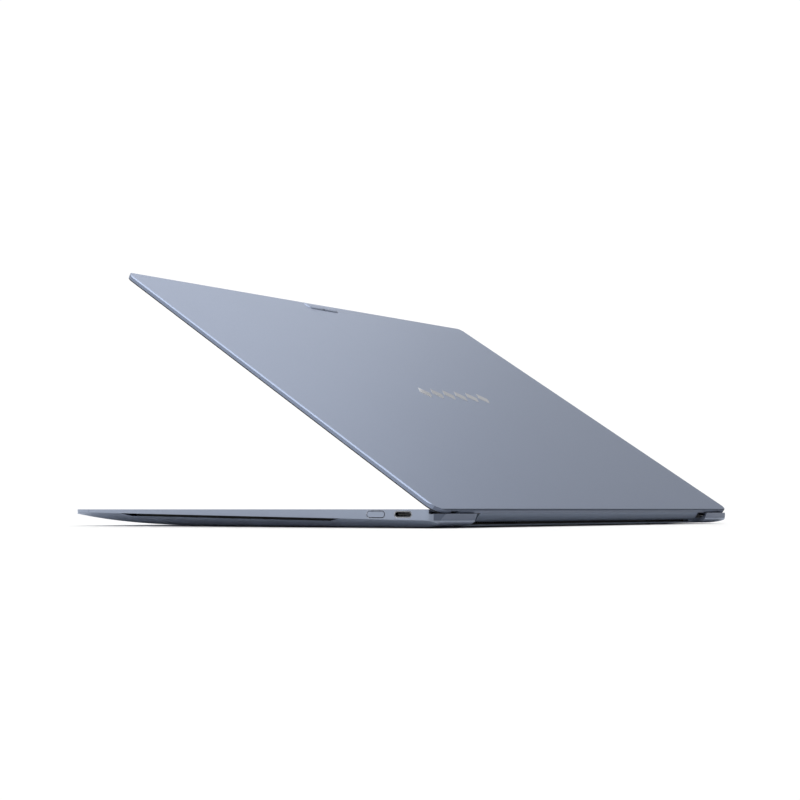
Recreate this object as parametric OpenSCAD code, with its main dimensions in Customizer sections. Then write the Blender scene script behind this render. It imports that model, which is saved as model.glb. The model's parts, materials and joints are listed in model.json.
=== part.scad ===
// Thin clamshell laptop computer, standing on its feet with the lid part open.
// +X is the user's right, +Y points back to the hinge, +Z is up.
// The origin is under the middle of the footprint, on the surface that it stands on.

/* [Overall] */
// Width, side to side
body_w = 310; // [300:1:380]
// Depth of the base, front to back
body_d = 221; // [216:1:270]
// Thickness of the base from its deck to its flat underside
base_t = 7.7; // [7.4:0.1:10]
// How far the feet stand proud of the underside
foot_h = 0.5; // [0.4:0.1:1.5]
// Angle that the lid stands open, from closed
open_angle = 32.5; // [20:0.5:45]

/* [Base shell] */
// Corner radius at the front
front_r = 6.3; // [3:0.1:12]
// Corner radius at the rear
rear_r = 7; // [6:0.5:13]
// Height of the upper wall at the front
seam_front = 1.35; // [1.3:0.05:1.5]
// Height of the upper wall at the rear
seam_rear = 4.9; // [4.6:0.02:5.2]
// Thickness of the front edge
lip_t = 1.75; // [1.7:0.05:2.4]
// Thickness of the deck plate
deck_t = 1.2; // [1:0.05:1.25]
// Thickness of the upper side walls
wall_t = 2.5; // [2:0.1:3]
// Thickness of the bottom cover
shell_t = 0.8; // [0.6:0.05:1]
// Distance from the front edge to where the underside turns flat
rise_run = 72; // [60:1:80]
// Width of the rounded band along each lower side
side_run = 21; // [15:0.5:24]
// Height of the rounded band along each lower side
side_drop = 5.6; // [5.2:0.1:8]
// Gap between the top case and the bottom cover
seam_gap = 0.03; // [0.02:0.01:0.1]

/* [Hinge] */
// Distance from the rear edge to the hinge axis
hinge_inset = 5.3; // [5.2:0.1:7]
// Height of the hinge axis above the deck
hinge_rise = 0.16; // [0.1:0.02:0.3]
// Radius of the hinge knuckles
knuckle_r = 1.9; // [1.7:0.05:1.95]
// Radius of the hinge pins
pin_r = 0.9; // [0.7:0.05:1.1]
// Running clearance of a pin in the fixed knuckle
pin_run = 0.05; // [0.02:0.01:0.08]
// Clearance of a pin in the moving knuckles
pin_seat = 0.01; // [0.01:0.01:0.02]
// Distance from each side to the middle of its hinge
hinge_side = 14; // [14:0.25:22]
// Length of the fixed knuckle
fixed_l = 5.5; // [4:0.1:7]
// Length of each moving knuckle
moving_l = 3; // [2:0.1:4]
// End gap between knuckles
knuckle_gap = 0.5; // [0.3:0.05:1]
// Thickness of the hinge leaves
leaf_t = 0.9; // [0.7:0.05:1]

/* [Lid] */
// Air gap between the closed lid and the deck
lid_gap = 0.15; // [0.1:0.05:0.4]
// Height of the display gasket
gasket_t = 0.5; // [0.3:0.05:0.6]
// Height of the lid's straight rim above the deck when closed
rim_h = 2.1; // [2:0.05:2.4]
// Height of the chamfer above the rim
chamfer_h = 0.5; // [0.4:0.05:0.6]
// Width of the chamfer
chamfer_w = 0.7; // [0.4:0.1:1.5]
// How far the lid reaches behind the hinge axis
lid_back = 4.35; // [3.6:0.05:4.35]
// Corner radius of the lid at the rear
lid_r = 7; // [6:0.5:10]
// Distance from each side to the end of the hinge cover
spine_inset = 37.5; // [37:0.5:50]
// Thickness of the lid's outer skin
skin_t = 0.8; // [0.6:0.05:0.85]
// Width of the lid's side rims
rim_w = 2.4; // [2:0.1:4]
// Height of the camera bump over the lid
bump_h = 0.5; // [0.3:0.1:0.8]

/* [Keyboard] */
// Pitch of one key unit across
key_pitch = 18.27; // [15:0.01:18.5]
// Pitch of the rows
row_pitch = 17.5; // [16:0.1:17.5]
// Pitch of the top row
top_pitch = 12.5; // [11:0.1:12.5]
// Gap between neighbouring key caps
cap_gap = 2.6; // [2:0.1:4]
// Clearance round each key cap
cap_clear = 0.35; // [0.2:0.05:0.5]
// Thickness of a key cap
cap_t = 1.2; // [1:0.05:1.2]
// How far a key travels
key_travel = 1.1; // [0.8:0.05:1.1]
// Distance from the rear edge to the keyboard
keys_inset = 19; // [18.5:0.5:24]

/* [Touchpad] */
// Width of the touchpad
pad_w = 130; // [100:1:160]
// Depth of the touchpad
pad_d = 83; // [60:1:84]
// Distance from the front edge to the touchpad
pad_inset = 10; // [8:0.5:14]
// Thickness of the touchpad
pad_t = 1.1; // [0.8:0.05:1.1]
// Clearance round the touchpad
pad_clear = 0.3; // [0.2:0.05:0.5]

/* [Side ports] */
// Distance from the rear edge to the middle of the socket
port_inset = 18.6; // [17.5:0.1:25]
// Distance between the two sockets of the left side
port_pitch = 15.5; // [13:0.1:20]
// Depth of the port centres under the deck
port_drop = 2.2; // [2:0.05:2.3]
// Outer width of a socket shell
port_w = 8.94; // [8.5:0.02:9.2]
// Outer height of a socket shell
port_h = 2.6; // [2.4:0.05:2.8]
// Wall of a socket shell
port_wall = 0.22; // [0.18:0.01:0.3]
// Length of a socket shell
port_l = 7.2; // [6:0.1:8]
// Clearance round sockets and buttons
port_clear = 0.05; // [0.03:0.01:0.1]
// Distance from the rear edge to the middle of the power button
button_inset = 33.1; // [32:0.1:39]
// Width of the power button
button_w = 9.1; // [7:0.1:12]
// Height of the power button
button_h = 2.56; // [2:0.02:2.7]
// Gap round the power button
button_gap = 0.25; // [0.15:0.05:0.35]

/* [Hidden] */
$fn = 64;

eps = 0.01;
far = 400;
half_w = body_w / 2;
half_d = body_d / 2;
deck_z = foot_h + base_t;

// hinge axis and the spaces that turn round it
hinge_x = half_w - hinge_side;
hinge_y = half_d - hinge_inset;
hinge_z = deck_z + hinge_rise;
fold_r = 6.1;
scoop_clear = 0.2;
corner_end = 69;
scoop_r = norm([lid_back, rim_h - hinge_rise]) + scoop_clear;
// height of the lid's edge over the hinge line, at angle a round a rear corner, where the chamfers run out
function corner_rise(a) = rim_h - hinge_rise
  + min(chamfer_h, chamfer_h / chamfer_w * lid_r * min(1 - cos(a), 1 - sin(a)));
// half outline of the space that a rounded rear corner of the lid turns through, as (radius, along)
CORNER_SWEEP = [for (a = [0:11.5:corner_end])
  [norm([lid_back - lid_r * (1 - cos(a)), corner_rise(a)]) + scoop_clear, lid_r * sin(a)]];
knuckle_clear = 0.15;
// thickness of the cover's floor under the exhaust gap
vent_floor = 0.75;
lid_rear = hinge_y + lid_back;
lid_low = deck_z + lid_gap;
lid_mid = lid_low + gasket_t;
lid_rim = deck_z + rim_h;
lid_top = lid_rim + chamfer_h;
skin_z = lid_top - skin_t;
spine_half = half_w - spine_inset;
spine_slot = spine_half + 0.5;
// half the width of the opening between the rear corners, behind the hinge cover
notch_half = spine_half + 6.3;
notch_d = 9;
ear_drop = 1.9;
ear_x = half_w - wall_t;
// front of the solid rear corners
ear_front = half_d - 15;

// slope of the seam line between the top case and the bottom cover
seam_slope = atan((seam_rear - seam_front) / body_d);
seam_mid = deck_z - (seam_front + seam_rear) / 2;

// keyboard
key_units = 15;
keys_w = key_units * key_pitch;
keys_rear = half_d - keys_inset;
keys_d = top_pitch + 5 * row_pitch;
cap_drop = 0.1;
cap_r = 1.6;
plate_t = 0.3;
membrane_t = 0.15;
plate_margin = 1.6;
plate_z = deck_z - cap_drop - cap_t - key_travel - 0.05 - membrane_t - plate_t;

// rows from rear to front, each a list of key widths in units
row_function = [for (i = [0:14]) 1];
row_number = [for (i = [0:13]) i < 13 ? 1 : 2];
row_upper = [for (i = [0:13]) i == 0 || i == 13 ? 1.5 : 1];
row_home = [for (i = [0:12]) i == 0 ? 1.75 : i == 12 ? 2.25 : 1];
row_lower = [for (i = [0:11]) i == 0 ? 2.25 : i == 11 ? 2.75 : 1];
row_bottom = [1.25, 1, 1, 1.25, 5.5, 1, 1, 1, 1, 1];
ROWS = [row_function, row_number, row_upper, row_home, row_lower, row_bottom];
SPACE = 4;
LEFT_ARROW = 7;
MID_ARROW = 8;
RIGHT_ARROW = 9;

// layout of the inside
inside_low = foot_h + shell_t;
inside_z = inside_low + 0.3;
fan_x = half_w - 61;
speaker_x0 = half_w - 31;
fan_y = half_d - 47;
fan_r = 19.5;
fan_w = 48;
fan_d = 46;
fan_h = 3.4;
fin_d = 7.5;
screws_at = [for (s = [-1, 1]) for (p = [[half_w - 55, 40.5 - half_d], [half_w - 27, 83 - half_d],
  [half_w - 33, half_d - 14.7]]) [s * p[0], p[1]]];
boss_r = 2.2;
screw_r = 0.9;
head_r = 2;
head_t = 0.45;

// height of the underside at a depth, and of a screw head that is sunk flush in it
function under_z(y) = foot_h + (base_t - lip_t) * pow(max(0, rise_run - half_d - y) / rise_run, 2.6);
function head_z(p) = under_z(p[1] - head_r) + 0.05;

metal = "#96a2b7";
dark_metal = "#5d6677";
black = "#1b1c1f";
gold = "#b08d3c";
copper = "#b36a3a";
board_green = "#20402f";
steel = "#8d9096";

// ---- helpers ----

// rounded rectangle with its own front and rear corner radii, made of true arcs
module outline(w, y0, y1, rf, rr) {
  translate([-w / 2, y0 + rf]) square([w, y1 - y0 - rf - rr]);
  translate([-w / 2 + rf, y0]) square([w - 2 * rf, rf + eps]);
  translate([-w / 2 + rr, y1 - rr - eps]) square([w - 2 * rr, rr + eps]);
  for (s = [-1, 1]) {
    translate([s * (w / 2 - rf), y0 + rf]) circle(rf);
    translate([s * (w / 2 - rr), y1 - rr]) circle(rr);
  }
}

// stadium of full width w and height h
module pill(w, h) {
  square([w - h, h], center = true);
  for (s = [-1, 1]) translate([s * (w - h) / 2, 0]) circle(d = h);
}

module layer(z0, z1) { translate([0, 0, z0]) linear_extrude(z1 - z0) children(); }

// a section drawn as (y, z), drawn out from x0 to x1
module along_x(x0, x1) { translate([x0, 0, 0]) rotate([90, 0, 90]) linear_extrude(x1 - x0) children(); }

// a section drawn as (x, z), drawn out over the whole depth
module along_y() { rotate([90, 0, 0]) translate([0, 0, -far / 2]) linear_extrude(far) children(); }

module box(x0, x1, y0, y1, z0, z1) { translate([x0, y0, z0]) cube([x1 - x0, y1 - y0, z1 - z0]); }

// a child on the right, and its mirror image on the left
module both() {
  children();
  mirror([1, 0, 0]) children();
}

// a cylinder on the hinge axis
module on_axis(r, x0, x1) { translate([x0, hinge_y, hinge_z]) rotate([0, 90, 0]) cylinder(r = r, h = x1 - x0); }

// the lid is drawn closed, and turned open here
module opened() {
  translate([0, hinge_y, hinge_z]) rotate([-open_angle, 0, 0]) translate([0, -hinge_y, -hinge_z]) children();
}

// ---- shape of the base ----

// everything above the sloping seam, raised by lift
module above_seam(lift = 0) {
  translate([0, 0, seam_mid + lift]) rotate([-seam_slope, 0, 0])
    translate([-far / 2, -far / 2, 0]) cube([far, far, 20]);
}

// cross section with rounded lower sides, in from the outside by i
module side_section(i) {
  r = (side_run * side_run + side_drop * side_drop) / (2 * side_drop);
  steps = 10;
  arc = [for (k = [0:steps]) let (a = asin(side_run / r) * (1 - k / steps))
    [half_w - side_run + r * sin(a) - i, r - r * cos(a) - side_drop + i]];
  polygon(concat([[half_w - i, 12]], arc, [for (k = [steps:-1:0]) [-arc[k][0], arc[k][1]]], [[i - half_w, 12]]));
}

// long profile: thin front edge, flat underside, rounded and leaning rear, in from the outside by i
module long_profile(i) {
  y_flat = rise_run - half_d;
  low = deck_z - base_t;
  rear_run = 11.8;
  rear_y = half_d - 13;
  crease = base_t - seam_rear;
  front = [for (k = [0:14]) let (u = 1 - k / 14)
    [y_flat - rise_run * u + (k == 0 ? i : 0), low + i + (base_t - lip_t) * pow(u, 2.6)]];
  rear = [for (k = [0:8]) [rear_y - i + rear_run * sin(90 * k / 8), low + i + crease * (1 - cos(90 * k / 8))]];
  polygon(concat([[i - half_d, deck_z + 5]], front, rear,
    [[half_d - i, deck_z - ear_drop], [half_d - i, deck_z + 5]]));
}

// the whole base, in from the outside by i
module base_form(i) {
  intersection() {
    layer(foot_h - 1, deck_z)
      outline(body_w - 2 * i, i - half_d, half_d - i, front_r - i, rear_r - i);
    translate([0, 0, seam_mid]) rotate([-seam_slope, 0, 0]) along_y() side_section(i);
    along_x(-far / 2, far / 2) long_profile(i);
  }
}

// space that the lid and its hinge cover sweep through
module hinge_room() {
  on_axis(fold_r, -spine_slot, spine_slot);
  box(-spine_slot, spine_slot, hinge_y - fold_r, half_d + 1, foot_h + vent_floor, deck_z + 1);
  box(-notch_half, notch_half, half_d - notch_d, half_d + 1, 0, deck_z + 1);
  both() {
    on_axis(scoop_r, spine_slot - eps, half_w - lid_r + eps);
    translate([half_w - lid_r, hinge_y, hinge_z]) rotate([0, 90, 0]) rotate_extrude()
      polygon(concat([[0, 0]], CORNER_SWEEP, [[0, lid_r * sin(corner_end)]]));
    box(spine_slot - 1, half_w + 1, hinge_y, half_d + 1, deck_z - ear_drop, deck_z + 1);
  }
}

// middle of key k in a row, in units from the left
function key_mid(row, k) = (k == 0 ? 0 : key_mid(row, k - 1) + row[k - 1] / 2) + row[k] / 2;
function row_y(r) = r == 0 ? keys_rear - top_pitch / 2 : keys_rear - top_pitch - (r - 0.5) * row_pitch;
function row_d(r) = r == 0 ? top_pitch : row_pitch;

// plan of one key cap, grown by g
module cap_plan(r, k, g) {
  translate([(key_mid(ROWS[r], k) - key_units / 2) * key_pitch, row_y(r)])
    offset(r = cap_r + g, $fn = 16)
      square([ROWS[r][k] * key_pitch - cap_gap - 2 * cap_r, row_d(r) - cap_gap - 2 * cap_r], center = true);
}

// up and down arrows share one place, each half as deep
module half_cap_plan(up, g) {
  half = (row_pitch - cap_gap - 1) / 2;
  translate([(key_mid(row_bottom, MID_ARROW) - key_units / 2) * key_pitch, row_y(5) + up * (half + 1) / 2])
    offset(r = 1 + g, $fn = 16) square([key_pitch - cap_gap - 2, half - 2], center = true);
}

module caps(r, ks) {
  for (k = ks) layer(deck_z - cap_drop - cap_t, deck_z - cap_drop) cap_plan(r, k, 0);
}

// a side port's plan, drawn at its place on the right wall
module on_side(y, x0, x1) {
  translate([0, y, deck_z - port_drop]) along_x(x0, x1) children();
}

port_y = half_d - port_inset;
button_y = half_d - button_inset;

// recess round the mouth of a hole in a side wall, for its rim
mouth_d = 0.25;
mouth_w = 0.25;

module side_hole(y, depth, w, h) {
  on_side(y, half_w - depth, half_w + 1) pill(w, h);
  on_side(y, half_w - mouth_d, half_w + 1) pill(w + 2 * mouth_w, h + 2 * mouth_w);
}

module socket_hole(y) { side_hole(y, port_l + 1, port_w + 2 * port_clear, port_h + 2 * port_clear); }

// fine groove across each side wall near the front
module side_groove() {
  y = 11.6 - half_d;
  both() box(half_w - groove_d, half_w + 1, y - groove_w / 2, y + groove_w / 2, -1, deck_z + 1);
}

// ---- base shells ----

groove_d = 0.12;
groove_w = 0.3;

module top_case() {
  color(metal) difference() {
    union() {
      difference() {
        intersection() {
          base_form(0);
          above_seam(0);
        }
        box(-ear_x, ear_x, wall_t - half_d, ear_front, 0, deck_z - deck_t);
        box(-spine_slot, spine_slot, 0, half_d, 0, deck_z - deck_t);
        both() box(hinge_x - 11, hinge_x + 11, 0, hinge_y - 2.5, deck_z - 4.4, deck_z - deck_t);
      }
      for (p = screws_at) intersection() {
        translate([p[0], p[1], foot_h + shell_t]) cylinder(r = boss_r, h = base_t - shell_t - deck_t / 2);
        base_form(shell_t + 0.05);
      }
    }
    for (p = screws_at) translate([p[0], p[1], 0]) cylinder(r = screw_r + 0.02, h = deck_z - deck_t);
    layer(deck_z - 3, deck_z + 1) {
      for (r = [0:5]) for (k = [0:len(ROWS[r]) - 1])
        if (r != 5 || k != MID_ARROW) cap_plan(r, k, cap_clear);
      half_cap_plan(1, cap_clear);
      half_cap_plan(-1, cap_clear);
      translate([0, pad_inset + pad_d / 2 - half_d])
        square([pad_w + 2 * pad_clear, pad_d + 2 * pad_clear], center = true);
    }
    hinge_room();
    side_groove();
    side_hole(button_y, 4, button_w + 2 * button_gap, button_h + 2 * button_gap);
    socket_hole(port_y);
    mirror([1, 0, 0]) {
      socket_hole(port_y);
      socket_hole(port_y - port_pitch);
    }
  }
}

slot_h = 1.25;
slot_deep = 6;
slot_front = 35 - half_d;
slot_rear = half_d - 51;

module bottom_cover() {
  color(dark_metal) difference() {
    base_form(0);
    above_seam(-seam_gap);
    intersection() {
      base_form(shell_t);
      union() {
        box(-spine_slot, spine_slot, -far, far, -1, far);
        box(-far, far, -far, ear_front, -1, far);
      }
    }
    hinge_room();
    side_groove();
    // side slots under the seam, fading out at both ends
    both() translate([0, 0, seam_mid]) rotate([-seam_slope, 0, 0]) along_x(half_w - slot_deep, half_w + 1)
      polygon([[slot_front - 3, 0.2], [slot_front, -0.4], [slot_front + 4, -slot_h],
        [slot_rear - 9, -slot_h], [slot_rear, 0.2]]);
    for (p = screws_at) translate([p[0], p[1], 0]) {
      cylinder(r = screw_r + 0.2, h = deck_z - 3);
      cylinder(r = head_r + 0.1, h = head_z(p) + head_t);
      translate([0, 0, head_z(p) + shell_t]) cylinder(r = boss_r + 0.15, h = base_t);
    }
    // air inlets under the fans
    both() for (j = [-6:6]) box(fan_x - 17, fan_x + 17, fan_y + 2.6 * j - 0.6, fan_y + 2.6 * j + 0.6, 0, inside_z);
  }
}

foot_w = 6;

module front_feet() {
  color(black) both() layer(0, foot_h - 0.02) translate([half_w - 85, 68 - half_d]) pill(40, foot_w);
}

module rear_foot() {
  color(black) layer(0, foot_h - 0.02) translate([0, half_d - 26]) pill(body_w - 110, foot_w);
}

// countersunk heads under the cover and shanks in the bosses
module bottom_screws() {
  color(steel) for (p = screws_at) translate([p[0], p[1], head_z(p)]) difference() {
    union() {
      cylinder(r = head_r, h = head_t - 0.02);
      cylinder(r = screw_r, h = 3.2);
    }
    translate([0, 0, -1]) cylinder(r = 0.8, h = 1.2, $fn = 6);
  }
}

// dark mesh strips behind the side slots
module side_grilles() {
  color(black) both() translate([0, 0, seam_mid]) rotate([-seam_slope, 0, 0])
    box(half_w - slot_deep + 0.1, half_w - slot_deep + 0.7, slot_front + 5, slot_rear - 10, 0.05 - slot_h, -0.1);
}

module exhaust_grille() {
  y = hinge_y - fold_r - 1.2;
  color(black) difference() {
    box(1 - spine_slot, spine_slot - 1, y, y + 1, inside_low + 0.12, deck_z - deck_t - 0.02);
    for (s = [-1, 1]) for (j = [0:21])
      translate([s * (fan_x - fan_w / 2 + 2 * j), y, 0]) box(-0.6, 0.6, -1, 2, inside_low + 0.6, deck_z - deck_t - 1.2);
  }
}

// ---- keyboard and touchpad ----

module keyboard_plate() {
  color(dark_metal) translate([0, keys_rear - keys_d / 2, 0]) {
    box(-keys_w / 2 - plate_margin, keys_w / 2 + plate_margin, -keys_d / 2 - plate_margin,
      keys_d / 2 + plate_margin, plate_z, plate_z + plate_t);
    difference() {
      box(-keys_w / 2 - plate_margin, keys_w / 2 + plate_margin, -keys_d / 2 - plate_margin,
        keys_d / 2 + plate_margin, plate_z, deck_z - deck_t - 0.02);
      box(-keys_w / 2 - 0.4, keys_w / 2 + 0.4, -keys_d / 2 - 0.4, keys_d / 2 + 0.4, 0, deck_z);
    }
  }
}

module key_membrane() {
  color(black) translate([0, keys_rear - keys_d / 2, 0])
    box(-keys_w / 2, keys_w / 2, -keys_d / 2, keys_d / 2, plate_z + plate_t, plate_z + plate_t + membrane_t);
}

module escape_key() { color(metal) caps(0, [0]); }
module function_keys() { color(metal) caps(0, [1:14]); }
module number_keys() { color(metal) caps(1, [0:12]); }
module backspace_key() { color(metal) caps(1, [13]); }
module tab_key() { color(metal) caps(2, [0]); }
module upper_keys() { color(metal) caps(2, [1:13]); }
module caps_lock_key() { color(metal) caps(3, [0]); }
module home_keys() { color(metal) caps(3, [1:11]); }
module enter_key() { color(metal) caps(3, [12]); }
module left_shift_key() { color(metal) caps(4, [0]); }
module lower_keys() { color(metal) caps(4, [1:10]); }
module right_shift_key() { color(metal) caps(4, [11]); }
module modifier_keys() { color(metal) caps(5, [0, 1, 2, 3, 5, 6]); }
module space_bar() { color(metal) caps(5, [SPACE]); }
module left_arrow_key() { color(metal) caps(5, [LEFT_ARROW]); }
module right_arrow_key() { color(metal) caps(5, [RIGHT_ARROW]); }
module up_arrow_key() { color(metal) layer(deck_z - cap_drop - cap_t, deck_z - cap_drop) half_cap_plan(1, 0); }
module down_arrow_key() { color(metal) layer(deck_z - cap_drop - cap_t, deck_z - cap_drop) half_cap_plan(-1, 0); }

pad_y = pad_inset + pad_d / 2 - half_d;

module touchpad() {
  color(metal) layer(deck_z - 0.05 - pad_t, deck_z - 0.05) translate([0, pad_y]) square([pad_w, pad_d], center = true);
}

module touchpad_module() {
  color(board_green) layer(deck_z - 2.4, deck_z - 0.05 - pad_t - 0.4)
    translate([0, pad_y + 8]) square([pad_w - 10, pad_d - 24], center = true);
}

// ---- side button and sockets ----

module power_button() {
  color(metal) {
    on_side(button_y, half_w - wall_t - 0.2, half_w) pill(button_w, button_h);
    on_side(button_y, half_w - wall_t - 0.8, half_w - wall_t - 0.1) pill(button_w + 1.6, 2 * (port_drop - deck_t) - 0.1);
  }
}

module power_switch() {
  color(black) {
    translate([0, button_y, deck_z - port_drop]) {
      box(half_w - 7, half_w - 4.4, -3, 3, -0.9, 0.9);
      box(half_w - 4.5, half_w - 3.75, -0.8, 0.8, -0.5, 0.5);
    }
  }
}

// drawn shell, open at its mouth and closed at its back
module socket_shell(y) {
  difference() {
    on_side(y, half_w - port_l, half_w - 0.1) pill(port_w, port_h);
    on_side(y, half_w - port_l + 0.4, half_w + 1) pill(port_w - 2 * port_wall, port_h - 2 * port_wall);
  }
}

module socket_tongue(y) {
  translate([0, y, deck_z - port_drop]) box(half_w - port_l + 0.42, half_w - 1.2, -3.3, 3.3, -0.35, 0.35);
}

module right_socket_shell() { color(steel) socket_shell(port_y); }
module right_socket_tongue() { color(black) socket_tongue(port_y); }
module left_socket_shells() {
  color(steel) mirror([1, 0, 0]) for (j = [0, 1]) socket_shell(port_y - j * port_pitch);
}
module left_socket_tongues() {
  color(black) mirror([1, 0, 0]) for (j = [0, 1]) socket_tongue(port_y - j * port_pitch);
}

// ---- inside the base ----

board_t = 0.8;
board_z = inside_z + board_t;
board_half = fan_x - fan_w / 2 - 4;
board_rear = half_d - 23;

module mainboard() { color(board_green) box(-board_half, board_half, board_rear - 56, board_rear, inside_z, board_z); }

// sizes of the parts on the board, across, deep and high
PROCESSOR = [30, 22, 0.9];
MEMORY_CHIP = [12, 9, 0.9];
DRIVE = [24, 42, 1.4];
RADIO = [22, 16, 1.2];

// a part on the board, with its middle at x and its rear face a distance in front of the board's
module on_board(x, back, size) {
  translate([x - size[0] / 2, board_rear - back - size[1], board_z]) cube(size);
}

module processor() { color(steel) on_board(0, 3, PROCESSOR); }
module memory_chips() { color(black) for (j = [0:3]) on_board(14 * j - 21, 33, MEMORY_CHIP); }
module storage_drive() { color(black) on_board(46, 8, DRIVE); }
module wireless_card() { color(steel) on_board(-47, 20, RADIO); }

// flat pipe along the rear with a plate on the processor
module heat_pipe() {
  z = board_z + 0.95;
  color(copper) {
    on_chip = PROCESSOR[0] / 2 + 2;
    box(-on_chip, on_chip, board_rear - PROCESSOR[1] - 4, half_d - 16, z, z + 0.7);
    box(fan_w / 2 + 1 - fan_x, fan_x - fan_w / 2 - 1, half_d - 21.5, half_d - 16, z, z + 1.2);
  }
}

module cooling_fins() {
  color(copper) both() translate([fan_x - fan_w / 2, half_d - 22.4, inside_z]) {
    cube([fan_w - 2, fin_d, 0.4]);
    for (j = [0:15]) translate([3 * j, 0, 0]) cube([0.4, fin_d, fan_h - 0.2]);
  }
}

module fan_housings() {
  color(black) both() translate([fan_x, fan_y, inside_z]) difference() {
    translate([-fan_w / 2, -fan_d / 2, 0]) cube([fan_w, fan_d, fan_h]);
    translate([0, 0, 0.4]) cylinder(r = fan_r + 1, h = fan_h);
    translate([0, 0, -1]) cylinder(r = fan_r - 4, h = 3);
    translate([4 - fan_w / 2, 4, 0.4]) cube([fan_w - 8, fan_d, fan_h - 0.8]);
  }
}

hub_r = 8;
blades = 21;
blade_l = 11.5;
blade_t = 0.6;

module fan() {
  color(dark_metal) translate([0, fan_y, inside_z + 0.6]) {
    cylinder(r = hub_r, h = 2.6);
    for (j = [1:blades]) rotate([0, 0, j * 360 / blades]) translate([hub_r - 0.5, 0, 0]) rotate([0, 0, 25])
      translate([0, -blade_t / 2, 0]) cube([blade_l, blade_t, 2.4]);
  }
}

module left_fan() { translate([-fan_x, 0, 0]) fan(); }
module right_fan() { translate([fan_x, 0, 0]) fan(); }

cell_gap = 2;
// two cells a side, from the middle to the speakers
cell_w = (speaker_x0 - 3 * cell_gap - 2) / 2;
cells_front = 44 - half_d;
cells_rear = half_d - 96;

module battery_cells() {
  color(black) both() for (j = [0, 1])
    translate([cell_gap + j * (cell_w + cell_gap), cells_front, inside_z + 0.6]) cube([cell_w, cells_rear - cells_front, 2.4]);
}

module battery_board() {
  color(board_green) box(-90, 90, cells_rear + 0.6, cells_rear + 5, inside_z + 0.6, inside_z + 2);
}

module speakers() {
  color(black) both() box(speaker_x0, half_w - 11, 93 - half_d, half_d - 61, inside_z + 2, inside_z + 3.5);
}

// ---- hinges ----

fixed_x0 = hinge_x - fixed_l / 2;
fixed_x1 = hinge_x + fixed_l / 2;
moving_out = fixed_x1 + knuckle_gap;
moving_in = fixed_x0 - knuckle_gap;
leaf_screws = [-6, 6];
leaf_in = 9;
leaf_out = 6;
// the arm stops this far in front of the hinge line, clear of the lid's rim at full opening
arm_back = 1;

// leaf under the deck with the fixed knuckle
module hinge_base_leaves() {
  top = deck_z - deck_t - 0.05;
  color(steel) both() difference() {
    union() {
      box(hinge_x - leaf_in, hinge_x + leaf_out, keys_rear + 2.2, ear_front + 0.5, top - leaf_t, top);
      box(fixed_x0, fixed_x1, ear_front - 1, hinge_y - arm_back, top - leaf_t, top);
      box(fixed_x0, fixed_x1, hinge_y - 3.4, hinge_y - arm_back, top - leaf_t, deck_z - 0.3);
      on_axis(knuckle_r, fixed_x0, fixed_x1);
    }
    on_axis(pin_r + pin_run, fixed_x0 - 1, fixed_x1 + 1);
  }
}

leaf_z = lid_mid + 0.05;

// leaf in the lid with a moving knuckle at each side of the fixed one
module hinge_lid_leaves() {
  color(steel) opened() both() difference() {
    union() {
      box(hinge_x - 8.5, hinge_x + 8.5, hinge_y - 22, hinge_y - 5, leaf_z, leaf_z + leaf_t);
      box(moving_in - moving_l, moving_in, hinge_y - 6, hinge_y, leaf_z, leaf_z + leaf_t);
      box(moving_out, moving_out + moving_l, hinge_y - 6, hinge_y, leaf_z, leaf_z + leaf_t);
      on_axis(knuckle_r, moving_in - moving_l, moving_in);
      on_axis(knuckle_r, moving_out, moving_out + moving_l);
    }
    on_axis(pin_r + pin_seat, moving_in - moving_l - 1, moving_out + moving_l + 1);
    for (j = leaf_screws) translate([hinge_x + j, hinge_y - 14, leaf_z - 1]) cylinder(r = 0.85, h = 3);
  }
}

module hinge_pins() {
  color(steel) opened() both() on_axis(pin_r, moving_in - moving_l, moving_out + moving_l);
}

// screws that hold the lid leaves to the lid
module hinge_screws() {
  color(steel) opened() both() for (j = leaf_screws) translate([hinge_x + j, hinge_y - 14, leaf_z])
    cylinder(r = 0.8, h = leaf_t + 0.4);
}

// ---- lid ----

glass_gap = 0.2;
gasket_w = 1.6;
screen_rear = hinge_y - 7;

// plan of the lid, in from its edge by i
module lid_plan(i) { outline(body_w - 2 * i, i - half_d, lid_rear - i, front_r - i, lid_r - i); }

// the lid's outer form, with a chamfer along each upper edge
module lid_form() {
  intersection() {
    layer(lid_mid, lid_top) lid_plan(0);
    along_y() polygon([[-half_w, 0], [half_w, 0], [half_w, lid_rim], [half_w - chamfer_w, lid_top],
      [chamfer_w - half_w, lid_top], [-half_w, lid_rim]]);
    along_x(-half_w, half_w) polygon([[-half_d, 0], [lid_rear, 0], [lid_rear, lid_rim],
      [lid_rear - chamfer_w, lid_top], [chamfer_w - half_d, lid_top], [-half_d, lid_rim]]);
  }
}

bump_w = 28;
bump_d = 7.1;
bump_y = 4.85 - half_d;
bump_edge = 0.12;

// shallow oval rise over the camera, curved both ways
module camera_bump() {
  sag = bump_h - bump_edge;
  r_across = (bump_d * bump_d / 4 + sag * sag) / (2 * sag);
  r_along = (bump_w * bump_w / 4 + sag * sag) / (2 * sag);
  intersection() {
    layer(lid_top - 0.2, lid_top + bump_h) translate([0, bump_y]) pill(bump_w, bump_d);
    translate([-bump_w, bump_y, lid_top + bump_h - r_across]) rotate([0, 90, 0]) cylinder(r = r_across, h = 2 * bump_w);
    translate([0, bump_y - bump_d, lid_top + bump_h - r_along]) rotate([-90, 0, 0])
      cylinder(r = r_along, h = 2 * bump_d, $fn = 256);
  }
}

emblem_mid = [-11.5, -6.5];
emblem_w = 9.6;
emblem_h = 11;
emblem_pitch = 11.8;
emblem_t = 0.3;

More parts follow.
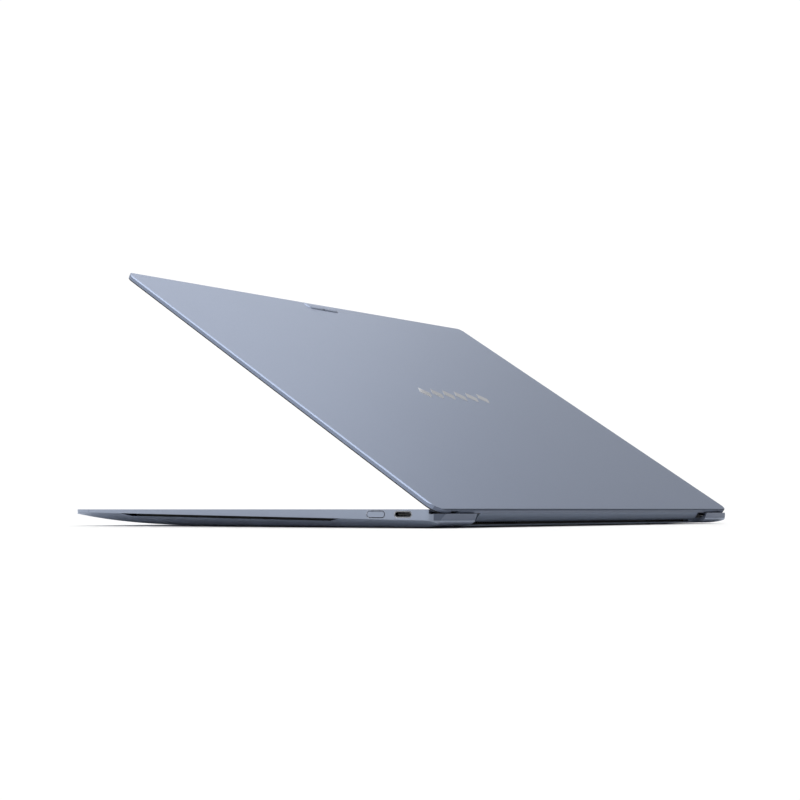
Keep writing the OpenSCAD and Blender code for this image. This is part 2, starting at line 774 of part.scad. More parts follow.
// row of six diamonds, grown by g
module emblem_plan(g) {
  for (j = [0:5]) translate([emblem_mid[0] + (j - 2.5) * emblem_pitch, emblem_mid[1]])
    polygon([[emblem_w / 2 + g, 0], [0, emblem_h / 2 + g], [-emblem_w / 2 - g, 0], [0, -emblem_h / 2 - g]]);
}

module lid_cover() {
  color(metal) opened() difference() {
    union() {
      difference() {
        lid_form();
        layer(lid_mid - 1, skin_z) outline(body_w - 2 * rim_w, rim_w - half_d, screen_rear, front_r - 1, 2);
      }
      camera_bump();
    }
    layer(lid_top - emblem_t + 0.05, lid_top + 1) emblem_plan(0.03);
    both() {
      // pockets for the leaf and the knuckles, and the notch at the fixed knuckle
      box(hinge_x - 9, hinge_x + 9, screen_rear - 1, hinge_y, lid_mid - 1, leaf_z + leaf_t + 0.1);
      on_axis(knuckle_r + knuckle_clear, moving_in - moving_l - 0.2, moving_out + moving_l + 0.2);
      box(fixed_x0 - 0.25, fixed_x1 + 0.25, hinge_y + 1.2, lid_rear + 1, 0, lid_rim - 0.3);
      for (j = leaf_screws) translate([hinge_x + j, hinge_y - 14, leaf_z])
        cylinder(r = 0.82, h = leaf_t + 0.42);
    }
  }
}

spine_back = 3.4;
spine_front = 4.5;
spine_drop = 5.45;
spine_round = 1.7;
spine_lean = 0.25;

// dark spine that closes the gap between the lid and the base, with a rounded lower rear edge
module hinge_cover() {
  top = gasket_t + lid_gap - 0.02;
  edge = [for (a = [0:15:90]) [spine_back - spine_lean - spine_round * (1 - cos(a)),
    spine_round * (1 - sin(a)) - spine_drop]];
  color(dark_metal) opened() along_x(-spine_half, spine_half) translate([hinge_y, deck_z])
    polygon(concat([[spine_back, top]], edge, [[-1.5, -spine_drop], [-3.9, -3.2], [-spine_front, top]]));
}

module display_gasket() {
  color(black) opened() difference() {
    layer(lid_low, lid_mid - 0.01) lid_plan(0.15);
    layer(0, lid_mid + 1) outline(body_w - 2 * gasket_w, gasket_w - half_d, screen_rear - 1.2, front_r - 1, 2);
    box(-spine_half - 1, spine_half + 1, hinge_y - 5.2, lid_rear + 1, 0, far);
    both() {
      box(moving_in - moving_l - 0.3, moving_out + moving_l + 0.3, hinge_y - 3, lid_rear + 1, 0, far);
    }
  }
}

module display_panel() {
  color(black) opened()
    layer(lid_mid + 0.1, skin_z - 0.05) outline(body_w - 2 * rim_w - 2, rim_w + 8 - half_d, screen_rear - 18, 2, 2);
}

module display_glass() {
  color(black) opened() layer(lid_low + 0.05, lid_mid + 0.03)
    outline(body_w - 2 * rim_w - 0.4, rim_w + 0.2 - half_d, screen_rear - 1.2 - glass_gap, front_r - 1.4, 2);
}

module camera_module() {
  color(board_green) opened() {
    box(-12, 12, 3.2 - half_d, 8.6 - half_d, lid_mid + 0.3, skin_z - 0.05);
    translate([0, 6 - half_d, lid_mid + 0.1]) cylinder(r = 1.6, h = 0.4);
  }
}

module emblem() { color("#d5d8de") opened() layer(lid_top - emblem_t + 0.07, lid_top + 0.04) emblem_plan(0); }

top_case();
bottom_cover();
front_feet();
rear_foot();
bottom_screws();
side_grilles();
exhaust_grille();
keyboard_plate();
key_membrane();
function_keys();
escape_key();
number_keys();
backspace_key();
upper_keys();
tab_key();
home_keys();
caps_lock_key();
enter_key();
lower_keys();
left_shift_key();
right_shift_key();
modifier_keys();
space_bar();
left_arrow_key();
up_arrow_key();
down_arrow_key();
right_arrow_key();
touchpad();
touchpad_module();
power_button();
power_switch();
right_socket_shell();
right_socket_tongue();
left_socket_shells();
left_socket_tongues();
mainboard();
processor();
memory_chips();
storage_drive();
wireless_card();
heat_pipe();
cooling_fins();
fan_housings();
left_fan();
right_fan();
battery_cells();
battery_board();
speakers();
hinge_base_leaves();
hinge_lid_leaves();
hinge_pins();
hinge_screws();
lid_cover();
hinge_cover();
display_gasket();
display_panel();
display_glass();
camera_module();
emblem();
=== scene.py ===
"""Looks of a thin clamshell laptop computer: finishes, small moulded and turned details, light and camera.

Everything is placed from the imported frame. Lengths are in metres unless a name ends in _mm.
"""

import json
import logging
import math
from dataclasses import dataclass, field
from enum import Enum

import bmesh
import bpy
from mathutils import Matrix, Vector


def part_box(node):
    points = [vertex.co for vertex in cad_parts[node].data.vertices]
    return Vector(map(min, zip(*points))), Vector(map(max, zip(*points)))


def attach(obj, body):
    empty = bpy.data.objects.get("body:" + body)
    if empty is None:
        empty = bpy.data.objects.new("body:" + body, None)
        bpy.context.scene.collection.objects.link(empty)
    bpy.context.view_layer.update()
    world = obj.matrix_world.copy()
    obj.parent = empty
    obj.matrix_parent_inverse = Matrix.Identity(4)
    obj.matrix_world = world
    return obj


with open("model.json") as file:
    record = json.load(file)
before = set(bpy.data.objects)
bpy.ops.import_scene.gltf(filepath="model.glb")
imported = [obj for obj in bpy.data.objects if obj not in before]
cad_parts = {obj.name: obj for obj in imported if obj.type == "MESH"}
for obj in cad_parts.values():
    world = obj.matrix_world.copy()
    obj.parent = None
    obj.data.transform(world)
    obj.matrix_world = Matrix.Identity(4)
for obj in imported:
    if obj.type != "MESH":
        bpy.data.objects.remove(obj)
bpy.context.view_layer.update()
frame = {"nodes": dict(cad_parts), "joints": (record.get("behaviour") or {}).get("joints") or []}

logging.basicConfig(level=logging.INFO, format="%(name)s: %(message)s")
log = logging.getLogger("laptop")

MM = 0.001
DECK_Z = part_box("top_case")[1].z
SIDE_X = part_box("top_case")[1].x
SIDE_FRONT = -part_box("top_case")[0].y
HINGE = next(joint for joint in frame["joints"] if joint["name"] == "lid_hinge")
HINGE_POINT = Vector(HINGE["pos_m"])
OPEN_ANGLE = -math.radians(HINGE["range_deg"][0])
# height of the lid's upper face when it is closed
LID_TOP = DECK_Z + 2.6 * MM
# turns what is drawn on the closed lid to the lid's place at rest
OPENED = Matrix.Translation(HINGE_POINT) @ Matrix.Rotation(-OPEN_ANGLE, 4, "X") @ Matrix.Translation(-HINGE_POINT)


class Body(Enum):
    """Rigid bodies that pieces ride on."""

    BASE = "base"
    LID = "lid"
    HOME_KEYS = "home_keys_body"
    CAPS_LOCK = "caps_lock_key_body"


class Tone(Enum):
    """Colours as sRGB hex values."""

    LID = "#8a95ab"
    CASE = "#a0aabd"
    BOTTOM = "#a3adc0"
    SPINE = "#7d889c"
    # painted shade: a darker tone for the outer rear faces, which face away from the light
    SHADED_REAR = "#6a7386"
    BRIGHT_EDGE = "#c3c8d2"
    KEY = "#7d8799"
    KEY_MARK = "#c9ced8"
    PAD = "#929caf"
    BLACK = "#101114"
    SOFT_BLACK = "#17181b"
    SCREEN = "#0a0d14"
    LENS = "#1a2140"
    STEEL = "#a3a6ab"
    COPPER = "#b87449"
    BOARD = "#173a2a"
    BATTERY = "#1d1e21"
    FLOOR = "#f4f4f4"
    MIRROR = "#d9dce2"


def linear(tone: Tone | str) -> tuple[float, float, float, float]:
    """Turns an sRGB hex colour to linear light.

    Args:
        tone: A named tone or a hex value.

    Returns:
        Red, green, blue and alpha, from 0 to 1.
    """
    code = (tone.value if isinstance(tone, Tone) else tone).lstrip("#")
    parts = [int(code[i:i + 2], 16) / 255 for i in (0, 2, 4)]
    lit = [c / 12.92 if c <= 0.04045 else ((c + 0.055) / 1.055) ** 2.4 for c in parts]
    return (lit[0], lit[1], lit[2], 1.0)


def shade(colour: tuple[float, ...], factor: float) -> tuple[float, float, float, float]:
    """Scales a linear colour's brightness, keeping its alpha."""
    return (colour[0] * factor, colour[1] * factor, colour[2] * factor, 1.0)


def add_node(tree: bpy.types.NodeTree, kind: str, inputs: dict | None = None, **settings) -> bpy.types.Node:
    """Adds one shader node.

    Args:
        tree: The material's or world's node tree.
        kind: Blender's name of the node type.
        inputs: Input names with a plain value or the socket that feeds them.
        settings: Properties of the node itself.

    Returns:
        The new node.
    """
    node = tree.nodes.new(kind)
    for name, value in settings.items():
        setattr(node, name, value)
    for name, value in (inputs or {}).items():
        if isinstance(value, bpy.types.NodeSocket):
            tree.links.new(value, node.inputs[name])
        else:
            node.inputs[name].default_value = value
    return node


@dataclass(frozen=True)
class Finish:
    """A surface: its colour, how it was made, and the pattern that the making leaves."""

    name: str
    tone: Tone
    roughness: float
    metallic: float = 0.0
    # size of the clouds of slightly lighter and darker tone, and how strong they are
    cloud_mm: float = 45.0
    cloud: float = 0.03
    # size and depth of the fine grain
    grain_mm: float = 0.3
    grain_depth_mm: float = 0.004
    grain_spread: float = 0.04
    coat: float = 0.0
    ior: float = 1.5

    def pattern(self, tree: bpy.types.NodeTree, place: bpy.types.NodeSocket) -> bpy.types.NodeSocket:
        """Makes the fine pattern, an even grain here."""
        grain = add_node(tree, "ShaderNodeTexNoise", {
            "Vector": place, "Scale": 1 / (self.grain_mm * MM), "Detail": 2.0})
        return grain.outputs["Fac"]

    def material(self) -> bpy.types.Material:
        """Builds the procedural material, or returns it if it is there.

        Returns:
            A material with clouded colour, varying roughness and a fine bump.
        """
        found = bpy.data.materials.get(self.name)
        if found:
            return found
        made = bpy.data.materials.new(self.name)
        made.use_nodes = True
        tree = made.node_tree
        tree.nodes.clear()
        place = add_node(tree, "ShaderNodeTexCoord").outputs["Object"]
        cloud = add_node(tree, "ShaderNodeTexNoise", {
            "Vector": place, "Scale": 1 / (self.cloud_mm * MM), "Detail": 3.0})
        base = linear(self.tone)
        colour = add_node(tree, "ShaderNodeMixRGB", {
            "Fac": cloud.outputs["Fac"], "Color1": shade(base, 1 - self.cloud), "Color2": shade(base, 1 + self.cloud)})
        pattern = self.pattern(tree, place)
        rough = add_node(tree, "ShaderNodeMapRange", {
            "Value": pattern, "From Min": 0.3, "From Max": 0.7,
            "To Min": max(0.02, self.roughness - self.grain_spread), "To Max": self.roughness + self.grain_spread})
        bump = add_node(tree, "ShaderNodeBump", {
            "Height": pattern, "Strength": 0.35, "Distance": self.grain_depth_mm * MM})
        shader = add_node(tree, "ShaderNodeBsdfPrincipled", {
            "Base Color": colour.outputs["Color"], "Roughness": rough.outputs["Result"],
            "Normal": bump.outputs["Normal"], "Metallic": self.metallic, "IOR": self.ior,
            "Coat Weight": self.coat})
        out = add_node(tree, "ShaderNodeOutputMaterial")
        tree.links.new(shader.outputs["BSDF"], out.inputs["Surface"])
        made.diffuse_color = base
        return made


@dataclass(frozen=True)
class BrushedFinish(Finish):
    """Metal drawn or brushed along X, with fine parallel lines."""

    def pattern(self, tree: bpy.types.NodeTree, place: bpy.types.NodeSocket) -> bpy.types.NodeSocket:
        """Makes lines by stretching the grain along X."""
        stretched = add_node(tree, "ShaderNodeMapping", {"Vector": place, "Scale": (0.04, 1.0, 1.0)})
        lines = add_node(tree, "ShaderNodeTexNoise", {
            "Vector": stretched.outputs["Vector"], "Scale": 1 / (self.grain_mm * MM), "Detail": 2.0})
        return lines.outputs["Fac"]


@dataclass(frozen=True)
class MeshFinish(Finish):
    """Woven or punched dark mesh, as a grid of small cells."""

    def pattern(self, tree: bpy.types.NodeTree, place: bpy.types.NodeSocket) -> bpy.types.NodeSocket:
        """Makes cells with open middles."""
        cells = add_node(tree, "ShaderNodeTexVoronoi", {
            "Vector": place, "Scale": 1 / (self.grain_mm * MM), "Randomness": 0.0})
        return cells.outputs["Distance"]


@dataclass(frozen=True)
class BoardFinish(Finish):
    """Circuit board under solder mask, with rows of raised tracks."""

    def pattern(self, tree: bpy.types.NodeTree, place: bpy.types.NodeSocket) -> bpy.types.NodeSocket:
        """Makes a net of tracks."""
        tracks = add_node(tree, "ShaderNodeTexBrick", {"Vector": place, "Scale": 1 / (self.grain_mm * MM)})
        return tracks.outputs["Fac"]


class Finishes:
    """Every finish of this computer. Grain below half a millimetre is drawn coarser than the real one to show."""

    # bead-blasted then anodised: an even satin with soft, wide highlights
    LID = Finish("anodised_aluminium_lid", Tone.LID, 0.42, 0.75, 60, 0.012, 0.35, 0.002, 0.03)
    CASE = Finish("anodised_aluminium_case", Tone.CASE, 0.40, 0.7, 60, 0.015, 0.35, 0.002, 0.03)
    BOTTOM = Finish("anodised_aluminium_bottom", Tone.BOTTOM, 0.48, 0.6, 50, 0.03, 0.4, 0.003, 0.04)
    # painted shade: a darker copy of the anodised aluminium for the outer rear faces of the top case and lid, standing
    # in for the shade they lie in
    SHADED_REAR = Finish("anodised_aluminium_painted_rear_shade", Tone.SHADED_REAR, 0.45, 0.6, 50, 0.02, 0.35, 0.002, 0.03)
    SPINE = BrushedFinish("anodised_aluminium_spine", Tone.SPINE, 0.45, 0.6, 50, 0.02, 0.25, 0.002, 0.05)
    # diamond-cut edges: cut after anodising, so they are bright and smoother
    CUT_EDGE = BrushedFinish("cut_aluminium_edge", Tone.BRIGHT_EDGE, 0.25, 0.9, 30, 0.02, 0.2, 0.001, 0.04)
    # spark-eroded mould texture
    KEY = Finish("moulded_key_plastic", Tone.KEY, 0.55, 0.0, 12, 0.02, 0.25, 0.006, 0.05)
    KEY_MARK = Finish("translucent_key_mark", Tone.KEY_MARK, 0.4, 0.0, 8, 0.02, 0.3, 0.002, 0.03)
    PAD = Finish("etched_touchpad_glass", Tone.PAD, 0.32, 0.2, 40, 0.01, 0.2, 0.001, 0.02)
    BLACK = Finish("moulded_black_plastic", Tone.BLACK, 0.5, 0.0, 15, 0.08, 0.3, 0.005, 0.06)
    RUBBER = Finish("moulded_rubber", Tone.SOFT_BLACK, 0.78, 0.0, 10, 0.10, 0.5, 0.02, 0.06)
    GASKET = Finish("soft_gasket_rubber", Tone.SOFT_BLACK, 0.7, 0.0, 20, 0.06, 0.3, 0.005, 0.05)
    MESH = MeshFinish("woven_black_mesh", Tone.BLACK, 0.6, 0.2, 10, 0.10, 0.8, 0.1, 0.08)
    STEEL = BrushedFinish("plated_steel", Tone.STEEL, 0.3, 1.0, 10, 0.03, 0.15, 0.003, 0.08)
    COPPER = BrushedFinish("drawn_copper", Tone.COPPER, 0.32, 1.0, 12, 0.06, 0.3, 0.004, 0.08)
    BOARD = BoardFinish("solder_mask", Tone.BOARD, 0.35, 0.0, 14, 0.15, 1.6, 0.05, 0.08)
    BATTERY = Finish("wrapped_battery_film", Tone.BATTERY, 0.4, 0.0, 18, 0.10, 3.0, 0.05, 0.06)
    # cover glass over a dark panel: deep black with a clear, sharp reflection
    GLASS = Finish("display_cover_glass", Tone.SCREEN, 0.05, 0.0, 90, 0.05, 8.0, 0.0005, 0.01, coat=0.6)
    SCREEN = Finish("dark_screen_area", Tone.SCREEN, 0.09, 0.0, 60, 0.25, 2.0, 0.0005, 0.015, coat=0.4)
    LENS = Finish("coated_lens", Tone.LENS, 0.03, 0.0, 5, 0.05, 2.0, 0.0002, 0.01, coat=1.0)
    # polished after plating: mirrors what stands round it
    MIRROR = Finish("mirror_polished_metal", Tone.MIRROR, 0.06, 1.0, 20, 0.02, 1.5, 0.0008, 0.02)


def put_on(node: bpy.types.Object, finish: Finish) -> None:
    """Gives an object one finish in place of what it has."""
    node.data.materials.clear()
    node.data.materials.append(finish.material())


def refine(node: bpy.types.Object, width_mm: float, segments: int = 2, angle: float = 32.0) -> None:
    """Rounds the sharp edges of a CAD node with modifiers, leaving its mesh as it is.

    Args:
        node: The CAD node's object.
        width_mm: Width of the rounding.
        segments: Steps across the rounding.
        angle: Edges sharper than this, in degrees, are rounded.
    """
    weld = node.modifiers.new("weld", "WELD")
    weld.merge_threshold = 0.002 * MM
    bevel = node.modifiers.new("edge", "BEVEL")
    bevel.width = width_mm * MM
    bevel.segments = segments
    bevel.limit_method = "ANGLE"
    bevel.angle_limit = math.radians(angle)
    bevel.harden_normals = True
    bevel.use_clamp_overlap = True


def paint_rear_shade(node: bpy.types.Object, rearward: Vector, depth_mm: float) -> None:
    """Paints shade on a shell's outer rear faces: gives them a darker copy of the anodised finish, as painted shade
    where they face away from the light.

    Args:
        node: The shell's object.
        rearward: Direction that its rear faces.
        depth_mm: How far in from the rearmost point the faces may lie.
    """
    node.data.materials.append(Finishes.SHADED_REAR.material())
    edge = max(vertex.co.dot(rearward) for vertex in node.data.vertices) - depth_mm * MM
    for face in node.data.polygons:
        if face.normal.dot(rearward) > 0.5 and face.center.dot(rearward) > edge:
            face.material_index = 1


def make_piece(name: str, shape: bmesh.types.BMesh, finish: Finish, body: Body, smooth: bool = True,
               opened: bool = False) -> bpy.types.Object:
    """Turns a shape into a piece of the computer that rides on a body.

    Args:
        name: The piece's name.
        shape: The shape, which is used up.
        finish: Its finish.
        body: The body that it rides on.
        smooth: Whether its faces shade smoothly where they meet at a low angle.
        opened: Whether the shape was drawn on the closed lid and has to turn with it.

    Returns:
        The new object.
    """
    # points that fall together would leave faces with no area
    bmesh.ops.remove_doubles(shape, verts=shape.verts, dist=0.0001 * MM)
    bmesh.ops.recalc_face_normals(shape, faces=shape.faces)
    if opened:
        shape.transform(OPENED)
    mesh = bpy.data.meshes.new(name)
    shape.to_mesh(mesh)
    shape.free()
    if smooth:
        mesh.shade_smooth()
        mesh.set_sharp_from_angle(angle=math.radians(38))
    piece = bpy.data.objects.new(name, mesh)
    bpy.context.scene.collection.objects.link(piece)
    put_on(piece, finish)
    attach(piece, body.value)
    log.info("piece %s: %d faces on %s", name, len(mesh.polygons), body.value)
    return piece


def stadium(width: float, height: float, steps: int = 12) -> list[tuple[float, float]]:
    """Outline of a bar with round ends, anticlockwise from its right end's lower side.

    Args:
        width: Full width.
        height: Full height, which is also the ends' diameter.
        steps: Steps round each end.

    Returns:
        Points as (across, up).
    """
    r = height / 2
    ends = []
    for side in (1, -1):
        for k in range(steps + 1):
            a = -math.pi / 2 + math.pi * k / steps + (0 if side == 1 else math.pi)
            ends.append((side * (width / 2 - r) + r * math.cos(a), r * math.sin(a)))
    return ends


def loft(rings: list[list[Vector]], closed_ends: bool = True, loop: bool = False) -> bmesh.types.BMesh:
    """Joins rings of equal length into a skin.

    Args:
        rings: Rings of points, each in the same order.
        closed_ends: Whether the first and last ring are filled.
        loop: Whether the last ring joins the first.

    Returns:
        The skin.
    """
    shape = bmesh.new()
    rows = [[shape.verts.new(p) for p in ring] for ring in rings]
    count = len(rows[0])
    pairs = list(zip(rows, rows[1:])) + ([(rows[-1], rows[0])] if loop else [])
    for low, high in pairs:
        for k in range(count):
            n = (k + 1) % count
            shape.faces.new((low[k], low[n], high[n], high[k]))
    if closed_ends and not loop:
        shape.faces.new(list(reversed(rows[0])))
        shape.faces.new(rows[-1])
    return shape


def plan_point(across: float, up: float, z: float) -> Vector:
    """Places a plan point, given in millimetres, at a height."""
    return Vector((across * MM, up * MM, z * MM))


def plate(outline: list[tuple[float, float]], middle: tuple[float, float], z0: float, z1: float,
          edge: float = 0.0) -> bmesh.types.BMesh:
    """A flat plate with a rounded upper edge, in millimetres.

    Args:
        outline: Plan points round the plate's middle.
        middle: Place of the middle.
        z0: Height of the lower face.
        z1: Height of the upper face.
        edge: Width of the rounding.

    Returns:
        The plate.
    """
    half = max(abs(p[0]) for p in outline), max(abs(p[1]) for p in outline)
    rings = []
    for inset, z in ((0.0, z0), (0.0, z1 - edge), (0.3 * edge, z1 - 0.3 * edge), (edge, z1)):
        scale = (half[0] - inset) / half[0], (half[1] - inset) / half[1]
        rings.append([plan_point(middle[0] + x * scale[0], middle[1] + y * scale[1], z) for x, y in outline])
    return loft(rings)


@dataclass
class BaseShell:
    """Top case, bottom cover, feet, grilles and screws."""

    nodes: dict[str, bpy.types.Object] = field(default_factory=lambda: frame["nodes"])

    def dress(self) -> None:
        """Puts the finishes on the shells, grilles, screws and feet, and rounds the edges of the screws and feet."""
        for name, finish in {
            "top_case": Finishes.CASE, "bottom_cover": Finishes.BOTTOM, "side_grilles": Finishes.MESH,
            "exhaust_grille": Finishes.MESH, "bottom_screws": Finishes.STEEL, "front_feet": Finishes.RUBBER,
            "rear_foot": Finishes.RUBBER,
        }.items():
            put_on(self.nodes[name], finish)
            log.info("finish %s on %s", finish.name, name)
        for name in ("bottom_screws", "front_feet", "rear_foot"):
            refine(self.nodes[name], 0.08)

    def build(self) -> None:
        """Dresses the shells."""
        self.dress()
        # painted shade: the top case's outer rear faces get the darker copy of the anodised finish
        paint_rear_shade(self.nodes["top_case"], Vector((0, 1, 0)), 7.0)


@dataclass
class Keyboard:
    """Key caps, plate and membrane, with the raised bars and the lock light."""

    cap_edge_mm: float = 0.22
    bar_mm: tuple[float, float, float] = (4.0, 0.7, 0.22)

    def dress(self) -> None:
        """Puts the finishes on the keys and rounds the caps."""
        for name, node in frame["nodes"].items():
            if name.endswith(("_key", "_keys")) or name == "space_bar":
                put_on(node, Finishes.KEY)
                refine(node, self.cap_edge_mm, 3)
        put_on(frame["nodes"]["keyboard_plate"], Finishes.BLACK)
        put_on(frame["nodes"]["key_membrane"], Finishes.BLACK)
        log.info("finish %s on the key caps", Finishes.KEY.name)

    def raise_bars(self) -> None:
        """Puts a bar on each of the two keys where the forefingers rest."""
        low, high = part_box("home_keys")
        pitch = (high.x - low.x) / MM / 11
        length, width, height = self.bar_mm
        for name, place in (("left_finger_bar", 3), ("right_finger_bar", 6)):
            middle = (low.x / MM + (place + 0.5) * pitch, low.y / MM + 3.6)
            top = high.z / MM
            make_piece(name, plate(stadium(length, width), middle, top - 0.05, top + height, 0.15), Finishes.KEY,
                       Body.HOME_KEYS)

    def add_lock_light(self) -> None:
        """Sets a small light in the corner of the lock key."""
        low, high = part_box("caps_lock_key")
        middle = (low.x / MM + 4.0, high.y / MM - 3.2)
        make_piece("lock_light", plate(stadium(1.1, 1.1), middle, high.z / MM - 0.05, high.z / MM + 0.02, 0.02),
                   Finishes.KEY_MARK, Body.CAPS_LOCK)

    def build(self) -> None:
        """Dresses the keys and adds their small parts."""
        self.dress()
        self.raise_bars()
        self.add_lock_light()


@dataclass
class Touchpad:
    """Touchpad and the module under it."""

    def dress(self) -> None:
        """Puts the finishes on the pad."""
        put_on(frame["nodes"]["touchpad"], Finishes.PAD)
        refine(frame["nodes"]["touchpad"], 0.25, 3)
        put_on(frame["nodes"]["touchpad_module"], Finishes.BOARD)

    def build(self) -> None:
        """Dresses the pad."""
        self.dress()


@dataclass
class SideParts:
    """Power button and sockets, with the cut rims round their holes."""

    mouth_mm: float = 0.25
    # middle of the holes below the deck
    drop_mm: float = 2.2
    # width of a socket's shell, and then of the rims' holes
    shell_mm: float = 8.94
    socket_mm: tuple[float, float] = (9.04, 2.7)
    button_mm: tuple[float, float] = (9.6, 3.06)

    def add_rim(self, name: str, hole: tuple[float, float], y: float, side: int) -> None:
        """Sets a bevelled rim in the recess round a hole.

        Args:
            name: The rim's name.
            hole: Width and height of the hole in millimetres.
            y: Place of its middle along the wall.
            side: 1 on the right wall and -1 on the left.
        """
        z = DECK_Z - self.drop_mm * MM
        section = [(self.mouth_mm, 0.01), (0.8 * self.mouth_mm, 0.0), (0.1, 0.06), (0.0, 0.24), (self.mouth_mm, 0.24)]
        rings = []
        for grow, back in section:
            outline = stadium(hole[0] + 2 * grow, hole[1] + 2 * grow)
            x = side * (SIDE_X - back * MM)
            rings.append([Vector((x, y + across * MM, z + up * MM)) for across, up in outline])
        make_piece(name, loft(rings, closed_ends=False, loop=True), Finishes.CUT_EDGE, Body.BASE)

    def add_rims(self) -> None:
        """Adds the rim of each hole."""
        right = sum(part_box("right_socket_shell"), Vector()).y / 2
        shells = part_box("left_socket_shells")
        left = [shells[k].y + side * self.shell_mm / 2 * MM for k, side in ((0, 1), (1, -1))]
        button = sum(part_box("power_button"), Vector()).y / 2
        self.add_rim("right_socket_rim", self.socket_mm, right, 1)
        self.add_rim("left_socket_rim_front", self.socket_mm, left[0], -1)
        self.add_rim("left_socket_rim_rear", self.socket_mm, left[1], -1)
        self.add_rim("button_rim", self.button_mm, button, 1)

    def build(self) -> None:
        """Dresses the parts and adds the rims."""
        self.dress()
        self.add_rims()

    def dress(self) -> None:
        """Puts the finishes on the button and sockets."""
        nodes = frame["nodes"]
        put_on(nodes["power_button"], Finishes.CASE)
        refine(nodes["power_button"], 0.2, 3)
        for name in ("right_socket_shell", "left_socket_shells"):
            put_on(nodes[name], Finishes.STEEL)
        for name in ("right_socket_tongue", "left_socket_tongues", "power_switch"):
            put_on(nodes[name], Finishes.BLACK)


@dataclass
class Inside:
    """Boards, cooling, battery and speakers."""

    def dress(self) -> None:
        """Puts the finishes on what the shells hold."""
        for finish, names in {
            Finishes.BOARD: ("mainboard", "battery_board"),
            Finishes.STEEL: ("processor", "wireless_card"),
            Finishes.BLACK: ("memory_chips", "storage_drive", "fan_housings", "left_fan", "right_fan", "speakers"),
            Finishes.COPPER: ("heat_pipe", "cooling_fins"),
            Finishes.BATTERY: ("battery_cells",),
        }.items():
            for name in names:
                put_on(frame["nodes"][name], finish)
                log.info("finish %s on %s", finish.name, name)

    def build(self) -> None:
        """Dresses the inner parts."""
        self.dress()


@dataclass
class Lid:
    """Lid cover with its camera bump, spine, gasket, display and mark."""

    edge_mm: float = 0.12
    bump_mm: tuple[float, float, float] = (28.0, 7.1, 0.505)
    # how much wider the built bump is than the one it covers
    bump_grow_mm: float = 0.25
    # middle of the bump from the lid's front edge
    bump_in_mm: float = 4.85
    bump_steps: int = 12
    screen_r_mm: float = 2.5

    def dress(self) -> None:
        """Puts the finishes on the lid's nodes and rounds their edges."""
        nodes = frame["nodes"]
        for name, finish in {
            "lid_cover": Finishes.LID, "hinge_cover": Finishes.SPINE, "display_gasket": Finishes.GASKET,
            "display_panel": Finishes.BLACK, "display_glass": Finishes.GLASS, "camera_module": Finishes.BOARD,
            "emblem": Finishes.MIRROR, "hinge_lid_leaves": Finishes.STEEL, "hinge_base_leaves": Finishes.STEEL,
            "hinge_pins": Finishes.STEEL, "hinge_screws": Finishes.STEEL,
        }.items():
            put_on(nodes[name], finish)
            log.info("finish %s on %s", finish.name, name)
        refine(nodes["lid_cover"], self.edge_mm)
        refine(nodes["emblem"], 0.05, 1)
        # painted shade: the lid's outer rear rim faces get the darker copy of the anodised finish
        paint_rear_shade(nodes["lid_cover"], OPENED.to_3x3() @ Vector((0, 1, 0)), 7.0)

    def add_camera_bump(self) -> None:
        """Covers the camera with a smooth crowned oval, a microphone slot and a status light."""
        width, depth, height = self.bump_mm
        grow = self.bump_grow_mm
        middle = (0.0, -SIDE_FRONT / MM + self.bump_in_mm)
        rings = []
        for step in range(self.bump_steps + 1):
            t = 0.97 * step / self.bump_steps
            inset = t * (depth / 2 + grow)
            rise = height * (1 - (1 - t) ** 4)
            outline = stadium(width + 2 * (grow - inset), depth + 2 * (grow - inset))
            rings.append([plan_point(middle[0] + x, middle[1] + y, LID_TOP / MM + rise - 0.004) for x, y in outline])
        make_piece("camera_bump", loft(rings), Finishes.LID, Body.LID, opened=True)
        top = LID_TOP / MM
        make_piece("microphone_slot", plate(stadium(2.4, 0.5), (0.7, middle[1] + 2.45), top + 0.2, top + 0.475, 0.02),
                   Finishes.BLACK, Body.LID, opened=True)
        make_piece("status_light", plate(stadium(0.9, 0.9), (-5.9, middle[1] + 0.75), top + 0.3, top + 0.52, 0.1),
                   Finishes.CUT_EDGE, Body.LID, opened=True)

    def add_screen(self) -> None:
        """Lays the dark screen area behind a black border, and a lens over it."""
        low = DECK_Z / MM + 0.19
        across, front, rear = SIDE_X / MM - 6.5, -SIDE_FRONT / MM + 8.0, HINGE_POINT.y / MM - 17.0
        half = (rear - front) / 2
        corner = [(math.cos(math.radians(a)), math.sin(math.radians(a))) for a in range(0, 360, 10)]
        r = self.screen_r_mm
        outline = [((across - r) * (1 if x > -1e-9 else -1) + r * x, (half - r) * (1 if y > -1e-9 else -1) + r * y)
                   for x, y in corner]
        make_piece("screen_area", plate(outline, (0.0, (front + rear) / 2), low, low + 0.02), Finishes.SCREEN, Body.LID,
                   opened=True)
        make_piece("camera_lens", plate(stadium(2.0, 2.0, 16), (0.0, -SIDE_FRONT / MM + 4.6), low, low + 0.02),
                   Finishes.LENS, Body.LID, opened=True)

    def build(self) -> None:
        """Dresses the lid and adds its small parts."""
        self.dress()
        self.add_camera_bump()
        self.add_screen()


